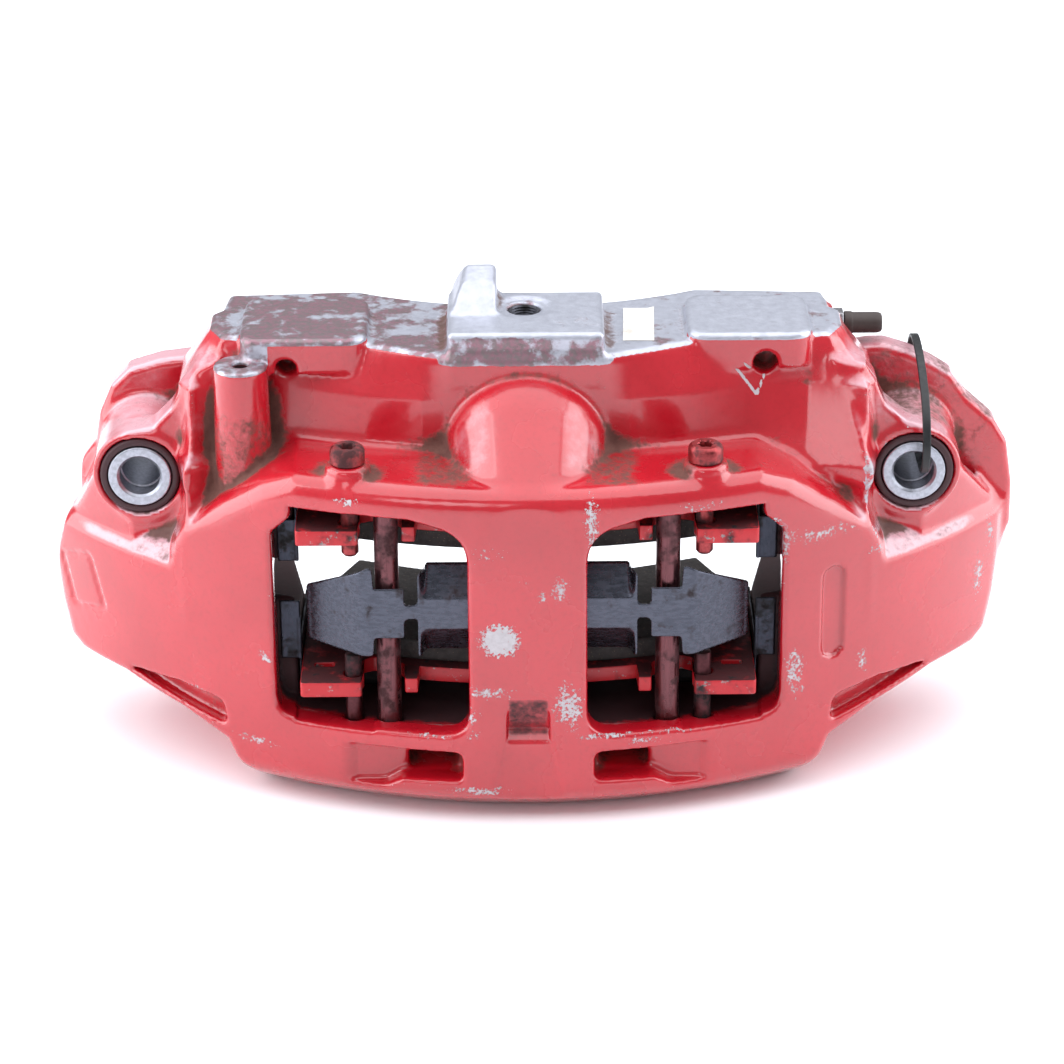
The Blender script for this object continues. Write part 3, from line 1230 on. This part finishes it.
def add_bleed():
    hexagon = [
        (BLEED_Y + 5.4 * math.cos(math.pi * k / 3), BLEED_Z + 5.4 * math.sin(math.pi * k / 3)) for k in range(6)
    ]
    solid = Solid((94, BLEED_Y - 8, BLEED_Z - 8), (123, BLEED_Y + 8, BLEED_Z + 8), SMALL_VOXEL)
    solid.add(level(BLEED_Y, BLEED_Z, 96, 109.6, 4.4, 0.4))
    solid.add(side(hexagon, 109.3, 113, 0.4), blend=0.3)
    solid.add(level(BLEED_Y, BLEED_Z, 112.5, 121, 2.6, 0.4), blend=0.3)
    finish_piece(solid.skin("bleed_nipple"), "bleed_screw", STEEL, "bush_steel", "bleed_screw")
    cap = turned("nipple_cap", [
        (0, 122), (3, 122), (3.1, 121.6), (3.1, 113.5), (3.3, 113.4), (4, 113.4), (4.1, 113.6), (4.1, 115.8),
        (3.9, 116.2), (3.75, 116.6), (3.75, 124.4), (3.65, 125.6), (3.3, 126.5), (2.6, 126.9), (0, 127),
    ], (BLEED_Y, BLEED_Z), "x")
    finish_piece(cap, "bleed_cap", CAP_RUBBER, "cap_rubber", "bleed_cap")


def add_tie():
    """The strap through the right bush and over the ear, with its lock behind."""
    loop = [
        (-5.8, 111), (-11.6, 113.5), (-14.6, 119.1), (-14, 126.8), (-8.7, 134.5), (0.2, 139.4), (12.1, 143.4),
        (27, 145.6), (38.8, 144.8), (45.5, 141.1), (50.5, 132.7), (55.4, 122.8), (56.8, 115.1), (53.7, 111),
    ]
    for _ in range(3):
        loop = [
            (a[0] + (b[0] - a[0]) * t, a[1] + (b[1] - a[1]) * t)
            for a, b in zip(loop, [*loop[1:], loop[0]], strict=True)
            for t in (0.25, 0.75)
        ]
    solid = Solid((135.5, -17, 108.5), (142, 59, 148), TIE_VOXEL)

    def strap(x, y, z):
        return slab(np.abs(polygon(loop, y, z)) - 0.65, x, 137.5, 140.4, 0.3)

    solid.add(strap)
    solid.add(box(136.6, 141.3, 51.6, 56.2, 121.5, 127, 0.6), blend=0.4)
    finish_piece(solid.skin("nylon_tie"), "casting", NYLON, "nylon", "tag_tie")


def extra_piece(obj, material):
    obj.data.materials.append(material)
    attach(obj, "casting")


def add_sticker():
    """A blank sticker on the inboard face, a little curled at one corner."""
    columns, rows = 24, 60
    top, under = [], []
    for j in range(rows + 1):
        for i in range(columns + 1):
            u, v = i / columns, j / rows
            x = 33.6 + 10.8 * u + 0.9 * v
            y = -3.6 + 30.5 * v
            curl = 0.5 * max(0, u + v - 1.8) / 0.2 + 0.05 * math.sin(9 * v + 4 * u)
            top.append((x, y, INBOARD_TOP + 0.22 + curl))
            under.append((x, y, INBOARD_TOP + 0.1 + curl))
    faces = []
    stride, count = columns + 1, len(top)
    for j in range(rows):
        for i in range(columns):
            a = j * stride + i
            quad = [a, a + 1, a + 1 + stride, a + stride]
            faces += [quad, [q + count for q in quad[::-1]]]
    rim = [*range(columns), *[columns + stride * j for j in range(rows)]]
    rim += [*[count - 1 - i for i in range(columns)], *[stride * (rows - j) for j in range(rows)]]
    for a, b in zip(rim, [*rim[1:], rim[0]], strict=True):
        faces.append([a, a + count, b + count, b])
    extra_piece(mesh_object("blank_sticker", top + under, faces), sticker_finish())


def add_port_thread():
    """Threads of the inlet port, as a thin ridged sleeve in its bore."""
    profile = [(5.2, 150.5), (5.2, 166.8), (4.9, 166.8)]
    for k in range(15):
        profile += [(4.35, 166.3 - k), (4.85, 165.8 - k)]
    profile.append((4.9, 150.5))
    extra_piece(turned("port_thread", profile, (PORT_X, PORT_Y)), PORT_ALLOY)


add_casting()
for half in WAYS:
    for key in PISTON_RADII:
        add_piston(half, key)
    add_pad(half)
for name in HANDS:
    add_pins(name)
    add_bush(name)
    for half in WAYS:
        add_abutment(name, half)
add_spring()
add_bleed()
add_tie()
add_sticker()
add_port_thread()

# ---- the camera, where the picture was taken from ----
camera_data = bpy.data.cameras.new("camera")
camera = placed("camera", camera_data)
scene.camera = camera
scene.view_settings.view_transform = "Standard"
ELEVATION = math.radians(25)
DISTANCE = 1.3
AIM = Vector((0.0017, -0.010, 0.0904))
ROLL = math.radians(-0.4)
VIEW_WIDTH = 0.374528
SENSOR = 36
camera.location = AIM + DISTANCE * Vector((0, -math.cos(ELEVATION), math.sin(ELEVATION)))
aim_turn = (AIM - camera.location).to_track_quat("-Z", "Y")
camera.rotation_euler = (aim_turn @ Quaternion((0, 0, 1), ROLL)).to_euler()
camera_data.sensor_width = SENSOR
camera_data.lens = SENSOR * DISTANCE / VIEW_WIDTH
camera_data.clip_end = 20


# ---- the pale floor and soft light ----
DAYLIGHT = (0.93, 0.96, 1.0)


def softbox(name, place, target, width, height, power):
    data = bpy.data.lights.new(name, "AREA")
    data.shape = "RECTANGLE"
    data.size, data.size_y, data.energy = width, height, power
    data.color = DAYLIGHT
    lamp = placed(name, data)
    lamp.location = place
    lamp.rotation_euler = (Vector(target) - Vector(place)).to_track_quat("-Z", "Y").to_euler()
    return lamp


floor_mesh = bpy.data.meshes.new("floor")
floor_mesh.from_pydata([(-4, -4, 0), (4, -4, 0), (4, 4, 0), (-4, 4, 0)], [], [(0, 1, 2, 3)])
floor = placed("floor", floor_mesh)
floor_finish = Finish("floor_paper")
floor_mesh.materials.append(floor_finish.set(
    Base_Color=floor_finish.mix(floor_finish.noise(3, 3), srgb(244, 244, 246), srgb(250, 250, 252)),
    Roughness=0.9,
))
MIDDLE = (0, 0, 0.08)
lamps = [
    softbox("light_top", (0, 0.4, 1.6), (0, 0.4, 0), 3, 3, 58),
    softbox("light_left", (-1.0, -0.1, 0.5), MIDDLE, 1.1, 1.0, 13),
    softbox("light_right", (1.1, 0.1, 0.5), MIDDLE, 1.1, 1.0, 13),
    softbox("light_front", (-0.5, -1.5, 0.9), MIDDLE, 0.6, 0.5, 3),
]
world = bpy.data.worlds.new("world")
scene.world = world
world.use_nodes = True
background = world.node_tree.nodes["Background"]
background.inputs["Color"].default_value = (*DAYLIGHT, 1)
background.inputs["Strength"].default_value = 0.35
